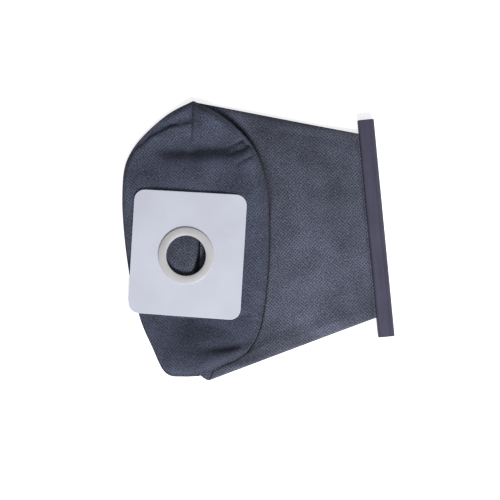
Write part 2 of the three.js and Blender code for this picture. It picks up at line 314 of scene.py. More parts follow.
cloth = {
    "period": 3.1,              # mm between the weld points of a row; every other row stands between
    "drawn": 0.0014, "drawnScale": 60.0,        # how far the rows are drawn out of line, in metres
    "pressed": (0.1, 0.8),      # of the lattice's height, where a weld point starts and is full
    "weld": (0.015, 0.017, 0.032), "fibre": (0.090, 0.097, 0.138), "roughness": 0.88,
    # noises: scale, detail, roughness, and each one's share in the tone
    "fibres": (2200.0, 3.0, 0.6, 0.25), "clouds": (38.0, 2.0, 0.5, 0.2),
    "grain": (620.0, 2.0, 0.5, 0.4), "blotches": (230.0, 3.0, 0.6, 0.15),
    "blotched": (0.38, 0.62, 0.5),      # over this span of the blotches the weld points fade to this share
    "toneSpan": (0.384, 0.616), "toneShares": (0.36, 1.72),
    "depth": 0.2, "fibreDepth": 0.3,    # mm that the weld points are pressed in, and the fibres' share of it
    "creaseDulls": 0.75,        # share of the colour that full painted shade takes away; below nought the painted light adds colour
    # the end cloth is a darker copy of the same cloth: painted shade
    "tubeShade": (1, 1, 1), "endShade": (0.69, 0.735, 0.79),
}


def clothMaterial(name, shade):
    weld, fibre = (tuple(c * share for c, share in zip(cloth[key], shade)) for key in ("weld", "fibre"))
    material, tree, shader = newMaterial(name, fibre, cloth["roughness"], Specular_IOR_Level=0.25,
                                         Sheen_Weight=0.1, Sheen_Roughness=0.5)
    uv = placeOn(tree, "UV")
    drift = speckle(tree, uv, cloth["drawnScale"], 2.0, output="Color")
    drawn = addNode(tree, "ShaderNodeVectorMath", {"operation": "MULTIPLY_ADD"},
                    i0=drift, i1=(cloth["drawn"],) * 3, i2=uv)
    turn = 2 * math.pi / (cloth["period"] * mm)
    waves = addNode(tree, "ShaderNodeVectorMath", {"operation": "SCALE"}, Vector=drawn.outputs[0], Scale=turn)
    axes = addNode(tree, "ShaderNodeSeparateXYZ", Vector=waves.outputs[0])
    along, across = (maths(tree, "COSINE", axes.outputs[k]) for k in (0, 1))
    lattice = maths(tree, "MULTIPLY", along, across)
    low, high = cloth["pressed"]
    pressed = addNode(tree, "ShaderNodeMapRange", Value=lattice, From_Min=low, From_Max=high).outputs[0]
    noises = {key: speckle(tree, uv, *cloth[key][:3]) for key in ("fibres", "clouds", "grain", "blotches")}
    low, high, least = cloth["blotched"]
    clear = addNode(tree, "ShaderNodeMapRange", Value=noises["blotches"], From_Min=low, From_Max=high,
                    To_Min=least)
    weldMask = maths(tree, "MULTIPLY", pressed, clear.outputs[0])
    tone = blend(tree, *((pattern, cloth[key][3]) for key, pattern in noises.items()))
    base = ramp(tree, tone, *cloth["toneSpan"], *(tint(fibre, share) for share in cloth["toneShares"]))
    tinted = addNode(tree, "ShaderNodeMix", {"data_type": "RGBA"}, Factor=weldMask, i6=base, i7=(*weld, 1))
    # painted light and shade, read from the cloth's attribute, scale the colour
    crease = addNode(tree, "ShaderNodeAttribute", {"attribute_name": "crease"}).outputs["Fac"]
    lost = maths(tree, "MULTIPLY", maths(tree, "MINIMUM", crease, 1.0), cloth["creaseDulls"])
    shaded = addNode(tree, "ShaderNodeVectorMath", {"operation": "SCALE"}, Vector=tinted.outputs[2],
                     Scale=maths(tree, "SUBTRACT", 1.0, lost))
    tree.links.new(shaded.outputs[0], shader.inputs["Base Color"])
    height = maths(tree, "SUBTRACT", maths(tree, "MULTIPLY", noises["fibres"], cloth["fibreDepth"]), weldMask)
    giveBump(tree, shader, height, cloth["depth"], 1.0)
    return material


tubeFabric = clothMaterial("tube cloth", cloth["tubeShade"])
endFabric = clothMaterial("end cloth", cloth["endShade"])
print("cloth ready")

tube = {
    "frontColumns": 230, "tuckRows": 16, "creaseRows": 6, "underRows": 22, "tubeRows": 78, "tailTurns": 10,
    "backColumns": 70, "sideTurns": 6,
    "crowding": 0.6,            # the columns stand closer at the sides
    "rowPower": 1.25,           # the rows stand closer at the curved seam
    "wall": 0.7, "sideBulge": 0.6,
    "backPattern": 260,         # where the back ply's pattern starts on the cloth, clear of the front's
    # gap beside the curved seam, in its lower and its upper part
    "gapDepth": (2.2, 3.4), "gapWidth": (1.0, 5), "gapFlat": (1.5, 2.5), "gapOpens": (0.55, 0.72),
    # painted shade beside the curved seam: where it starts and its width, lower and upper, and its strength
    "gapShadeFrom": (1.1, 1.2), "gapShade": (1.1, 3.4), "gapPaintedShade": 0.85, "gapRoom": 0.8, "gapEases": 8,
    # painted shade: middle, reach along x and y, and how much painted shade darkens the cloth there
    "paintedLightAndShade": [(86, 82, 36, 22, 0.3), (134, 36, 22, 42, 0.25), (132, -68, 26, 18, 0.27),
              (24, -110, 20, 4, 0.35), (57, -91, 36, 17, 0.42), (40, -106, 24, 6, 0.3),
              (86, -96, 30, 7, 0.26), (146, -74, 8, 14, 0.3)],
    # painted shade on the back ply inside the hole and its reach, and on the rounded side folds
    "inside": 0.3, "insideReach": 22, "edgeShade": 0.6,
    # the back ply rides up under the inlet and into its bore, and the tuck as far as its crease
    "liftInBore": 0.4, "liftDrop": 3, "liftBore": (12, 19.5), "liftEnds": (22, 37), "liftStops": (-6, -1),
    "tuckLift": 5, "tuckLiftReach": 25,
    "swell": 9, "swellAt": (86, 6), "swellReach": (50, 90, 56), "swellOpens": 30,   # along x, down and up y
    # waves: height, size, seed; they die out at the seams and towards the clip
    "wrinkle": (0.6, 34, 3.1), "wrinkleDrawn": 0.7, "fine": (0.2, 11, 7.7),
    "wrinkleOpens": 6, "seamHold": 0.12, "clipHold": (120, 148),
    # folds: points with their strength, half widths on the left and right of that direction, depth, and for
    # some the painted shade in the fold: its strength and half width
    "folds": [
        {"line": [(128, -64, 0.2), (104, -72, 1), (70, -84, 1), (40, -92, 0.7)],
         "width": (7, 5), "depth": 1.1, "power": 2},
        {"line": [(146, 70, 0.6), (120, 84, 1), (80, 92, 0.5)],
         "width": (5, 6), "depth": 0.9, "power": 2},
        {"line": [(3, -113.8, 0.7), (10.8, -109.9, 1), (21.8, -106.5, 1), (34, -99.2, 0.9), (43, -87, 0.3)],
         "width": (1.5, 2), "depth": 0.6, "power": 2, "foldPaintedShade": (0.8, 1.3)},
    ],
    "mouthShade": 0.6, "mouthReach": 2.2,       # painted shadow beside the clip's mouth
    "tailStep": 1.1, "tailLead": 2.0, "tailStepEnd": 4.5, "tailTurn": 9.6, "tailReturn": 4.3,
    "tailPitch": 1.5,           # mm between the tail's rows on the flat cloth
}


def tailPath(ply):  # the plies of the tail: into the clip, a small step up, round and back
    start = mouthHeight + ply * bag["ply"] / 2
    top = start + tube["tailStep"]
    radius = top - mouthHeight
    path = [(0, start), (tube["tailLead"], start), (tube["tailStepEnd"], top)]
    for i in range(tube["tailTurns"] + 1):
        a = math.pi * (0.5 - i / tube["tailTurns"])
        path.append((tube["tailTurn"] + radius * math.cos(a), mouthHeight + radius * math.sin(a)))
    path.append((tube["tailReturn"], mouthHeight - radius))
    return [(bag["tailX"] + x, z) for x, z in path]


tailRows = len(tailPath(1))
tubeAndTailRows = tube["tubeRows"] + tailRows


def foldAt(folds, x, y):  # how far the folds near a place press the cloth down, and how much painted shade lies in them
    here = Vector((x, y))
    drop, crease = 0, 0
    for fold in folds:
        best = None
        for (ax, ay, strengthA), (bx, by, strengthB) in zip(fold["line"], fold["line"][1:]):
            start, along = Vector((ax, ay)), Vector((bx - ax, by - ay))
            t = min(max((here - start).dot(along) / along.length_squared, 0), 1)
            off = here - start - along * t
            if best is None or off.length < best[0]:
                best = (off.length, along.x * off.y - along.y * off.x, mix(strengthA, strengthB, t))
        width = fold["width"][0 if best[1] > 0 else 1]
        drop += fold["depth"] * best[2] * math.exp(-(best[0] / width) ** fold["power"])
        if "foldPaintedShade" in fold:
            foldPaintedShade, foldPaintedShadeWidth = fold["foldPaintedShade"]
            crease = max(crease, foldPaintedShade * best[2] * math.exp(-(best[0] / foldPaintedShadeWidth) ** 2))
    return drop, crease


def tubeWrinkle(x, y, v):
    hold = ease(1 - abs(v), 0, tube["seamHold"]) * (1 - ease(x, *tube["clipHold"]))
    waves = wave(tube["wrinkle"], x, y * tube["wrinkleDrawn"]) + wave(tube["fine"], x, y)
    (middleX, middleY), (reachX, reachDown, reachUp) = tube["swellAt"], tube["swellReach"]
    reachY = reachUp if y > middleY else reachDown
    swell = tube["swell"] * math.exp(-((x - middleX) / reachX) ** 2 - ((y - middleY) / reachY) ** 2)
    swell *= ease(x - frontSeam((v + 1) / 2).x, 0, tube["swellOpens"])
    return (waves + swell - foldAt(tube["folds"], x, y)[0]) * hold


def fromArc(s, x):  # distance from the curved seam, which runs from before to after at this place
    before, after = frontSeam(max(s - 0.01, 0)), frontSeam(min(s + 0.01, 1))
    return (x - frontSeam(s).x) * abs((after - before).normalized().y)


def seamGap(s, x, v):  # the front ply dives beside the curved seam, deeper along its upper part
    upper = ease(s, *tube["gapOpens"])
    depth, width, flat = (mix(*tube[key], upper) for key in ("gapDepth", "gapWidth", "gapFlat"))
    room = puffAt(x) * max(1 - v * v, 0) ** bag["puffPower"]
    return min(depth, room * tube["gapRoom"]) * math.exp(-(max(fromArc(s, x) - flat, 0) / width) ** 2)


# painted shade beside the curved seam
def seamShade(s, x):
    upper = ease(s, *tube["gapOpens"])
    start, width = (mix(*tube[key], upper) for key in ("gapShadeFrom", "gapShade"))
    return tube["gapPaintedShade"] * math.exp(-(max(fromArc(s, x) - start, 0) / width) ** 2)


def fromInlet(x, y):
    return Vector((x - inletX, y - inletY)).length


def backLift(x, y, creaseX, z):
    off = fromInlet(x, y)
    top = inletPlane(x) + tube["liftInBore"] - tube["liftDrop"] * ease(off, *tube["liftBore"])
    free = (1 - ease(off, *tube["liftEnds"])) * (1 - ease(x - creaseX, *tube["liftStops"]))
    return max(top - z, 0) * free


def tuckLift(x, y):
    return tube["tuckLift"] * math.exp(-(fromInlet(x, y) / tube["tuckLiftReach"]) ** 4)


def crowded(t):  # a share of the row of columns, closer together at both ends
    return t - tube["crowding"] * math.sin(2 * math.pi * t) / (2 * math.pi)


def frontPoint(i, j):
    s = crowded(i / tube["frontColumns"])
    v = 2 * s - 1
    seam = frontSeam(s)
    creaseX = seam.x - tuckAt(v)
    tailY = mix(*bag["tailEdges"], s)
    radius = bag["tuckRadius"]
    if j <= tube["tuckRows"]:
        k = j / (tube["tuckRows"] + 1)
        x = mix(seam.x, creaseX, k)
        z = tuckHeight(x, seam.y, v, 1 - k) + tuckLift(x, seam.y)
        return (x, seam.y, z), (2 * creaseX - x, seam.y), 0
    j -= tube["tuckRows"] + 1
    if j <= tube["creaseRows"]:
        turn = math.pi * (0.5 + j / tube["creaseRows"])
        z = frontHeight(creaseX, seam.y, v) + radius * (1 + math.sin(turn)) + tuckLift(creaseX, seam.y)
        return (creaseX + radius * math.cos(turn), seam.y, z), (creaseX, seam.y), 0
    j -= tube["creaseRows"] + 1
    if j < tube["underRows"]:
        x = mix(creaseX, seam.x, (j + 1) / (tube["underRows"] + 1))
        gap = seamGap(s, x, v) * ease(x - creaseX, 0, tube["gapEases"])
        z = frontHeight(x, seam.y, v) + tuckLift(x, seam.y) - gap
        return (x, seam.y, z), (x, seam.y), 0
    j -= tube["underRows"]
    if j < tube["tubeRows"]:
        k = (j / tube["tubeRows"]) ** tube["rowPower"]
        x, y = mix(seam.x, bag["tailX"], k), mix(seam.y, tailY, k)
        rise = tubeWrinkle(x, y, v) * ease(x - seam.x, 0, tube["wrinkleOpens"]) - seamGap(s, x, v)
        # painted shade beside the seam, in the folds and at the clip's mouth, with the painted patches
        crease = max(seamShade(s, x), foldAt(tube["folds"], x, y)[1]) + paintedLightAndShadeAt(tube["paintedLightAndShade"], x, y)
        crease += tube["mouthShade"] * math.exp(-((bag["tailX"] - x) / tube["mouthReach"]) ** 2)
        return (x, y, frontHeight(x, y, v) + rise), (x, y), crease
    x, z = tailPath(1)[j - tube["tubeRows"]]
    return (x, tailY, z), (bag["tailX"] + (j - tube["tubeRows"]) * tube["tailPitch"], tailY), 0


firstTubeRow = tube["tuckRows"] + tube["creaseRows"] + 2 + tube["underRows"]
frontRows = firstTubeRow + tubeAndTailRows - 1


def backPoint(i, j):
    turns = tube["sideTurns"]
    count = tube["backColumns"]
    s = crowded(min(max((i - turns) / count, 0), 1))
    seam = backSeam(s)
    tailY = mix(*bag["tailEdges"], s)
    if j < tube["tubeRows"]:
        k = (j / tube["tubeRows"]) ** tube["rowPower"]
        x, y = mix(seam.x, bag["tailX"], k), mix(seam.y, tailY, k)
        creaseX = frontSeam(s).x - tuckAt(2 * s - 1)
        z = backHeight(x, y, x - seam.x)
        point = Vector((x, y, z + backLift(x, y, creaseX, z)))
    else:
        x, z = tailPath(-1)[j - tube["tubeRows"]]
        point = Vector((x, tailY, z))
    flat = (point.x, tube["backPattern"] - point.y)
    if turns <= i <= turns + count:
        # painted shade on the back ply under the inlet
        off = fromInlet(point.x, point.y)
        return point, flat, tube["inside"] * math.exp(-(off / tube["insideReach"]) ** 4)
    # round the side fold, from the back ply's edge up to the front ply's
    front = Vector(frontPoint(0 if i < turns else tube["frontColumns"], firstTubeRow + j)[0])
    beyond = (turns - i if i < turns else i - turns - count) / turns
    out = -1 if i < turns else 1
    swing = math.pi * beyond
    half = (front - point) / 2
    bulge = min(half.length, tube["sideBulge"]) * math.sin(swing) * out
    place = point + half * (1 - math.cos(swing)) + Vector((0, bulge, 0))
    # painted shade on the rounded side fold
    return place, (flat[0], flat[1] + out * beyond), tube["edgeShade"] * math.sin(swing)


def frontRow(j):  # with flat places that are measured across the cloth from its middle
    row = [frontPoint(i, j) for i in range(tube["frontColumns"] + 1)]
    steps = [math.hypot(b[0][1] - a[0][1], b[0][2] - a[0][2]) for a, b in zip(row, row[1:])]
    reached = [0.0]
    for step in steps:
        reached.append(reached[-1] + step)
    middle = tube["frontColumns"] // 2
    start = row[middle][0][1] - reached[middle]
    return [(point, (flat[0], start + length), crease) for (point, flat, crease), length in zip(row, reached)]


def tubeCloth():
    bm = bmesh.new()
    rows = [frontRow(j) for j in range(frontRows + 1)]
    bentGrid(bm, tube["frontColumns"], frontRows, lambda i, j: rows[j][i])
    bentGrid(bm, tube["backColumns"] + 2 * tube["sideTurns"], tubeAndTailRows - 1, backPoint)
    bmesh.ops.remove_doubles(bm, verts=bm.verts, dist=0.00002)
    bmesh.ops.recalc_face_normals(bm, faces=bm.faces)
    piece = finishPiece(bm, "tube_cloth", tubeFabric, "bag")
    giveWall(piece, tube["wall"])
    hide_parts("back_panel", "front_panel")


stitch = {
    "pitch": 3.0, "length": 2.0, "radius": 0.2, "flattened": 1.3,
    "inset": 1.6, "lift": 0.35,
    "colour": (0.028, 0.030, 0.042), "shades": (1, 1.5), "toneSpan": (0.3, 0.7), "roughness": 0.7,
    "twist": (4000.0, 2.0),     # noise of the thread: scale and detail
}

end = {
    "rays": 520, "coveredRings": 10, "rings": 80, "rollRows": 6,
    "wall": 0.7,
    "pattern": 600,             # where this panel's pattern starts on the cloth, clear of the tube's
    "flatPastCollar": -0.05, "flatAtMost": 0.86, "slopePower": 1.7,
    "freeFrom": 8,              # the relief is full after an eighth of the slope
    "rimHold": 3,               # mm from the rim within which folds and waves die out
    "upperTuckEnd": (0.88, 0.96), "lowerTuckEnd": (-0.93, -0.8),    # where the back edge climbs on the tuck
    "roll": 1.2,                # mm that the seam's edge bulges
    "clearance": 1.0,           # mm over the middle of the cloth underneath
    "underEases": 8,            # mm over which that cloth rises to the tuck
    "waves": (0.8, 22, 5.5),    # height, size, seed
    "gather": 0.25, "gatherPitch": 7.5, "gatherReach": 7,
    "gatherDrift": (2, 20, 1.3), "gatherKept": 0.5, "gatherFades": (1, 30, 9.1),
    # painted light and shade: middle, reach along x and y, and how much painted shade darkens the cloth
    # there; a negative amount is painted light
    "paintedLightAndShade": [(17, 102, 13, 11, -0.3), (51.5, 54, 6, 22, -0.25), (16, 62, 20, 14, -0.1),
              (-14, -84, 44, 20, 0.38), (-24, -110, 26, 7, 0.36), (11, -102, 15, 5.5, 0.42)],
    # painted shade on the rolled seam edge
    "edgeShade": 0.6,
    # the seam margin stands up in a soft crest: share along the seam, height, distance from the seam
    "frontCrest": [(0, 6, 8), (0.05, 6, 8), (0.108, 5, 6), (0.17, 3, 4), (0.25, 1.3, 4), (0.6, 2.6, 9),
                   (0.75, 4.0, 10), (0.82, 3.2, 7), (0.88, 3.4, 5), (0.95, 3.2, 4.5), (1, 1.5, 4)],
    "backCrest": [(0, 5, 9), (0.08, 4.2, 10), (0.115, 3.4, 8), (0.15, 1, 4), (0.25, 0.9, 3), (0.75, 1.9, 3),
                  (0.85, 2.4, 5), (1, 1.8, 4)],
    "crestPower": 1.5,
    "lip": 3, "lipRises": (0.55, 0.72), "lipFalls": (0.92, 1),    # the seam stands proud along its upper part
    "stitchDip": 0.6, "stitchDipWidth": 0.8,
    # folds, as on the tube
    "folds": [
        {"line": [(-38, 89, 0.1), (-18, 86, 0.8), (0, 84.4, 1), (21, 83.2, 1), (42, 81, 0.5)],
         "width": (16, 7.5), "depth": 7.6, "power": 2, "foldPaintedShade": (0.25, 4)},
        {"line": [(-26, -94, 0.1), (-4.6, -94.4, 0.5), (13, -94.6, 0.8), (30, -94, 1), (38, -92.5, 0.7)],
         "width": (7, 3.6), "depth": 3.6, "power": 1.7, "foldPaintedShade": (0.5, 3)},
        {"line": [(-62, -52, 0.7), (-46, -55, 0.9), (-14, -61, 1.2), (30, -69, 1.7)],
         "width": (5, 21), "depth": 8, "power": 1.5},
        {"line": [(4.5, 109.8, 0), (2, 109.6, 0.9), (-16.3, 107.9, 1), (-34.8, 100.8, 0.9), (-44, 92, 0.3)],
         "width": (1.9, 7), "depth": 3.6, "power": 1.6, "foldPaintedShade": (0.55, 2)},
        {"line": [(5.4, 123.3, 0.8), (3.5, 109.4, 1), (1.25, 92.5, 0.6)],
         "width": (1.3, 1.3), "depth": 2.2, "power": 1.3, "foldPaintedShade": (1, 0.8)},
        {"line": [(46, 87, 1), (31.1, 82.0, 0.4)],
         "width": (1.7, 1.3), "depth": 2, "power": 1.5, "foldPaintedShade": (0.15, 1.2)},
        {"line": [(49, 79, 1), (34, 75.5, 0.4)],
         "width": (1.2, 1.9), "depth": 2, "power": 1.5, "foldPaintedShade": (0.15, 1.2)},
        {"line": [(52, 71, 1), (38.5, 66.2, 0.3)],
         "width": (1.4, 2.1), "depth": 1.8, "power": 1.5, "foldPaintedShade": (0.15, 1.2)},
    ],
}


def onTuck(v):
    return max(ease(v, *end["upperTuckEnd"]), 1 - ease(v, *end["lowerTuckEnd"]))


def crestAt(crest, s):
    for (a, *low), (b, *high) in zip(crest, crest[1:]):
        if s <= b:
            return [mix(p, q, (s - a) / (b - a)) for p, q in zip(low, high)]


def endRim():
    # for each ray: rim point, height of the cloth it is sewn to, distance along the rim, crest
    half = end["rays"] // 2
    rim = []
    for i in range(half):
        s = mix(bag["frontSeamStart"], 1, i / half)
        p = frontSeam(s)
        below = tuckHeight(p.x, p.y, 2 * s - 1, 1)
        lip = end["lip"] * ease(s, *end["lipRises"]) * (1 - ease(s, *end["lipFalls"]))
        rim.append((Vector((p.x, p.y, below + bag["ply"] + lip)), below, s * frontSeam.length,
                    crestAt(end["frontCrest"], s)))
    for i in range(half):
        s = mix(1, bag["backSeamStart"], i / half)
        p = backSeam(s)
        below = backHeight(p.x, p.y, 0)
        climb = onTuck(2 * s - 1) * (2 * bag["tuckRadius"] + bag["ply"])
        rim.append((Vector((p.x, p.y, below + bag["ply"] + climb)), below, -s * backSeam.length,
                    crestAt(end["backCrest"], s)))
    return rim


rim = endRim()
seamSteps = 500
seamRows = [frontSeam(i / seamSteps).y for i in range(seamSteps + 1)]


def collarReach(away):
    ray = Matrix.Rotation(-bag["collarTurn"], 2) @ away
    shares = [(size / 2 - offset * math.copysign(1, part)) / abs(part)
              for size, offset, part in zip(bag["collarSize"], bag["holeOffset"], ray)]
    return min(shares)


def clothUnder(x, y):  # middle of the tube's cloth under the end panel
    s = min(bisect.bisect(seamRows, y), seamSteps) / seamSteps
    v = 2 * s - 1
    seam = frontSeam(s)
    deep = tuckAt(v)
    creaseX = seam.x - deep - bag["tuckRadius"]
    folded = tuckHeight(x, y, v, max(1 - (seam.x - x) / deep, 0))
    return mix(backHeight(x, y), folded, ease(x - creaseX, -end["underEases"], 0))


def endPoint(i, j):
    edge, below, walked, (crest, crestReach) = rim[i % end["rays"]]
    away = Vector((edge.x - inletX, edge.y - inletY))
    if j > end["rings"]:
        # rolled over at the seam, down to the cloth that it is sewn to
        swing = math.pi * (j - end["rings"]) / end["rollRows"]
        half = (edge.z - below) / 2
        out = away.normalized() * end["roll"] * math.sin(swing)
        place = (edge.x + out.x, edge.y + out.y, edge.z - half * (1 - math.cos(swing)))
        # painted shade on the rolled edge
        return place, end["edgeShade"] * math.sin(swing)
    start = bag["holeRadius"] / away.length
    flatShare = min(collarReach(away) + end["flatPastCollar"], end["flatAtMost"])
    covered = end["coveredRings"]
    if j < covered:
        reach = mix(start, flatShare, j / covered)
    else:
        reach = mix(flatShare, 1, (j - covered) / (end["rings"] - covered))
    x = inletX + away.x * reach * mix(math.cos(bag["inletTilt"]), 1, reach)
    y = inletY + away.y * reach
    down = min(max((reach - flatShare) / (1 - flatShare), 0), 1)
    z = mix(inletPlane(x), edge.z, down ** end["slopePower"])
    free = min(down * end["freeFrom"], 1)
    fromRim = (1 - reach) * away.length
    turn = walked / end["gatherPitch"] * 2 * math.pi + wave(end["gatherDrift"], x, y)
    gather = end["gather"] * math.sin(turn)
    gather *= math.exp(-fromRim / end["gatherReach"]) * (end["gatherKept"] + wave(end["gatherFades"], x, y))
    off = fromRim / crestReach
    shape = gather + crest * (off * math.exp(1 - off)) ** end["crestPower"]
    shape -= end["stitchDip"] * math.exp(-((fromRim - stitch["inset"]) / end["stitchDipWidth"]) ** 2)
    drop, crease = foldAt(end["folds"], x, y)
    shape += (wave(end["waves"], x, y) - drop) * min(fromRim / end["rimHold"], 1)
    z += free * shape
    if 0 < down < 1:
        under = clothUnder(x, y) + (curl(fromRim) if end["rays"] / 2 < i < end["rays"] else 0)
        z = max(z, min(under + end["clearance"], edge.z + fromRim))
    return (x, y, z), crease * free + paintedLightAndShadeAt(end["paintedLightAndShade"], x, y)


def endRay(i):  # with flat places that are measured along the cloth, so that its pattern keeps its size
    ray = [endPoint(i, j) for j in range(end["rings"] + end["rollRows"] + 1)]
    middle = Vector((inletX, inletY))
    away = (Vector(ray[end["rings"]][0]).xy - middle).normalized()
    last = Vector(ray[0][0])
    length = (last.xy - middle).length
    placed = []
    for point, crease in ray:
        length += (Vector(point) - last).length
        last = Vector(point)
        flat = (inletX + away.x * length, inletY + away.y * length + end["pattern"])
        placed.append((point, flat, crease))
    return placed


def endCloth():
    bm = bmesh.new()
    placed = [endRay(i) for i in range(end["rays"] + 1)]
    bentGrid(bm, end["rays"], end["rings"] + end["rollRows"], lambda i, j: placed[i][j])
    bmesh.ops.remove_doubles(bm, verts=bm.verts, dist=0.00002)
    bmesh.ops.recalc_face_normals(bm, faces=bm.faces)
    piece = finishPiece(bm, "end_cloth", endFabric, "bag")
    giveWall(piece, end["wall"])
    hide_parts("end_panel")


tubeCloth()
endCloth()
print("cloth panels sewn")

# The collar, the seal and the hole lie in one tilted, turned plane
inletPlace = (Matrix.Translation(onFrame(inletX, inletY, bag["inletHeight"]))
              @ Matrix.Rotation(-bag["inletTilt"], 4, "Y") @ Matrix.Rotation(bag["collarTurn"], 4, "Z"))

collar = {
    "corner": 9.5, "thickness": 1.5, "rest": 0.7, "edge": 0.35, "sides": 192,
    "sharpAngle": 10,
    "colour": (0.60, 0.615, 0.71), "shades": (0.95, 1.05), "toneSpan": (0.3, 0.7),
    "roughness": 0.42, "roughSpan": (0.36, 0.52),
    "clouds": (26.0, 4.0), "grain": (900.0, 3.0), "grainBump": (0.03, 0.6),     # noises, depth and strength
}


def boardMaterial():
    material, tree, shader = newMaterial("collar board", collar["colour"], collar["roughness"])
    spot = placeOn(tree)
    giveTones(tree, shader, speckle(tree, spot, *collar["clouds"]), collar)
    grain = speckle(tree, spot, *collar["grain"])
    giveRoughness(tree, shader, grain, *collar["roughSpan"])
    giveBump(tree, shader, grain, *collar["grainBump"])
    return material


def roundedReach(angle):
    # from the hole's centre to the board's rounded outline, in one direction
    direction = Vector((math.cos(angle), math.sin(angle)))
    inner = Vector(bag["collarSize"]) / 2 - Vector((collar["corner"],) * 2)
    low, high = 0.0, 200.0      # mm, from the hole to well past the board
    for _ in range(40):
        middle = (low + high) / 2
        p = direction * middle + Vector(bag["holeOffset"])
        past = Vector((max(abs(p.x) - inner.x, 0), max(abs(p.y) - inner.y, 0)))
        inside = past.length < collar["corner"]
        low, high = (middle, high) if inside else (low, middle)
    return direction * low


def collarBoard():
    bm = bmesh.new()
    ring = bmesh.ops.create_circle(bm, segments=collar["sides"], radius=bag["holeRadius"] * mm)["verts"]
    outer = bmesh.ops.extrude_edge_only(bm, edges=list({e for v in ring for e in v.link_edges}))["geom"]
    for vert in [g for g in outer if isinstance(g, bmesh.types.BMVert)]:
        reach = roundedReach(math.atan2(vert.co.y, vert.co.x))
        vert.co = Vector((reach.x, reach.y, 0)) * mm
    for vert in bm.verts:
        vert.co.z = collar["rest"] * mm
    faces = bmesh.ops.extrude_face_region(bm, geom=list(bm.faces))["geom"]
    top = [g for g in faces if isinstance(g, bmesh.types.BMVert)]
    bmesh.ops.translate(bm, verts=top, vec=(0, 0, collar["thickness"] * mm))
    bmesh.ops.recalc_face_normals(bm, faces=bm.faces)
    rims = [e for e in bm.edges if len(e.link_faces) == 2 and e.calc_face_angle() > math.radians(60)]
    bmesh.ops.bevel(bm, geom=rims, offset=collar["edge"] * mm, segments=3, profile=0.5, material=-1,
                    affect="EDGES")
    bm.transform(inletPlace)
    piece = finishPiece(bm, "collar_board", boardMaterial(), "bag", collar["sharpAngle"])
    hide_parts("collar_plate")


seal = {
    "bore": 17.75, "inner": 19.8, "neck": 21.8, "flange": 25, "foot": 24.6,
    "flangeHeight": 1.4, "flangeEdge": 0.85, "crown": 22.6, "footHeight": 1,
    "lip": 1, "lipRoot": 1.2, "lipDrop": 0.35,
    "rounding": {0: 0.4, 1: 0.4, 3: 0.4, 4: 0.4, 8: 0.45, 9: 1.6, 10: 0.6, 11: 0.45},   # by corner
    "sides": 160, "sharpAngle": 50,
    "colour": (0.505, 0.505, 0.515), "shades": (0.93, 1.06), "toneSpan": (0.3, 0.7), "roughness": 0.5,
    "clouds": (60.0, 4.0), "grain": (1500.0, 3.0), "grainBump": (0.04, 0.6),
}


def sealMaterial():
    material, tree, shader = newMaterial("seal rubber", seal["colour"], seal["roughness"])
    spot = placeOn(tree)
    giveTones(tree, shader, speckle(tree, spot, *seal["clouds"]), seal)
    giveBump(tree, shader, speckle(tree, spot, *seal["grain"]), *seal["grainBump"])
    return material


def inletSeal():
    under = -bag["cloth"] / 2 - bag["clearance"]
    over = bag["cloth"] / 2 + 2 * bag["clearance"] + collar["thickness"]
    foot = under - seal["footHeight"]
    top = over + seal["flangeHeight"]
    lipTop = top - seal["lipDrop"]
    section = [  # distance from the axis, height
        (seal["bore"], lipTop - seal["lip"]), (seal["inner"], top - seal["lipRoot"]), (seal["inner"], foot),
        (seal["foot"], foot), (seal["foot"], under), (seal["neck"], under),
        (seal["neck"], over), (seal["flange"], over), (seal["flange"], over + seal["flangeEdge"]),
        (seal["crown"], top), (seal["inner"], top), (seal["bore"], lipTop),
    ]
    bm = bmesh.new()
    verts = [bm.verts.new((r * mm, 0, z * mm)) for r, z in section]
    bm.faces.new(verts)
    for i, rounding in seal["rounding"].items():
        bmesh.ops.bevel(bm, geom=[verts[i]], offset=rounding * mm, segments=5, profile=0.5, material=-1,
                        affect="VERTICES")
    bmesh.ops.delete(bm, geom=list(bm.faces), context="FACES_ONLY")
    geom = list(bm.verts) + list(bm.edges)
    bmesh.ops.spin(bm, geom=geom, axis=(0, 0, 1), cent=(0, 0, 0), steps=seal["sides"], angle=2 * math.pi,
                   use_merge=True)
    bmesh.ops.remove_doubles(bm, verts=bm.verts, dist=0.000001)
    bmesh.ops.recalc_face_normals(bm, faces=bm.faces)
    bm.transform(inletPlace)
    piece = finishPiece(bm, "seal_ring", sealMaterial(), "bag", seal["sharpAngle"])
    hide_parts("inlet_seal")


collarBoard()
inletSeal()
print("collar and seal set")

clip = {
    "length": 194, "width": 14.6, "wall": 1.5, "mouth": 2.6,
    "spine": 3.2, "lip": 2.2, "grooveFromSpine": 4.2, "grooveWidth": 1.2, "grooveDepth": 0.5,
    "grooveEdge": 0.2, "grooveBottom": 0.25, "mouthEdge": 0.4, "wallEdge": 0.3, "edge": 0.25,
    "sharpAngle": 20,
    "colour": (0.070, 0.068, 0.104), "shades": (0.86, 1.18), "toneSpan": (0.35, 0.65),
    "roughness": 0.4, "roughSpan": (0.3, 0.44), "roughFrom": (0.4, 0.7),
    "streaks": (900, 14, 900),      # scale of the marks that extruding leaves, drawn out along y
    "lines": (1.0, 3.0), "clouds": (30.0, 3.0), "lineBump": (0.03, 0.3),
}


def clipMaterial():
    material, tree, shader = newMaterial("clip plastic", clip["colour"], clip["roughness"],
                                         Specular_IOR_Level=0.18)
    spot = placeOn(tree)
    streaked = addNode(tree, "ShaderNodeMapping", Vector=spot, Scale=clip["streaks"])
    lines = speckle(tree, streaked.outputs[0], *clip["lines"])
    giveTones(tree, shader, blend(tree, (lines, 0.5), (speckle(tree, spot, *clip["clouds"]), 0.5)), clip)
    low, high = clip["roughFrom"]
    giveRoughness(tree, shader, lines, *clip["roughSpan"], From_Min=low, From_Max=high)
    giveBump(tree, shader, lines, *clip["lineBump"])
    return material


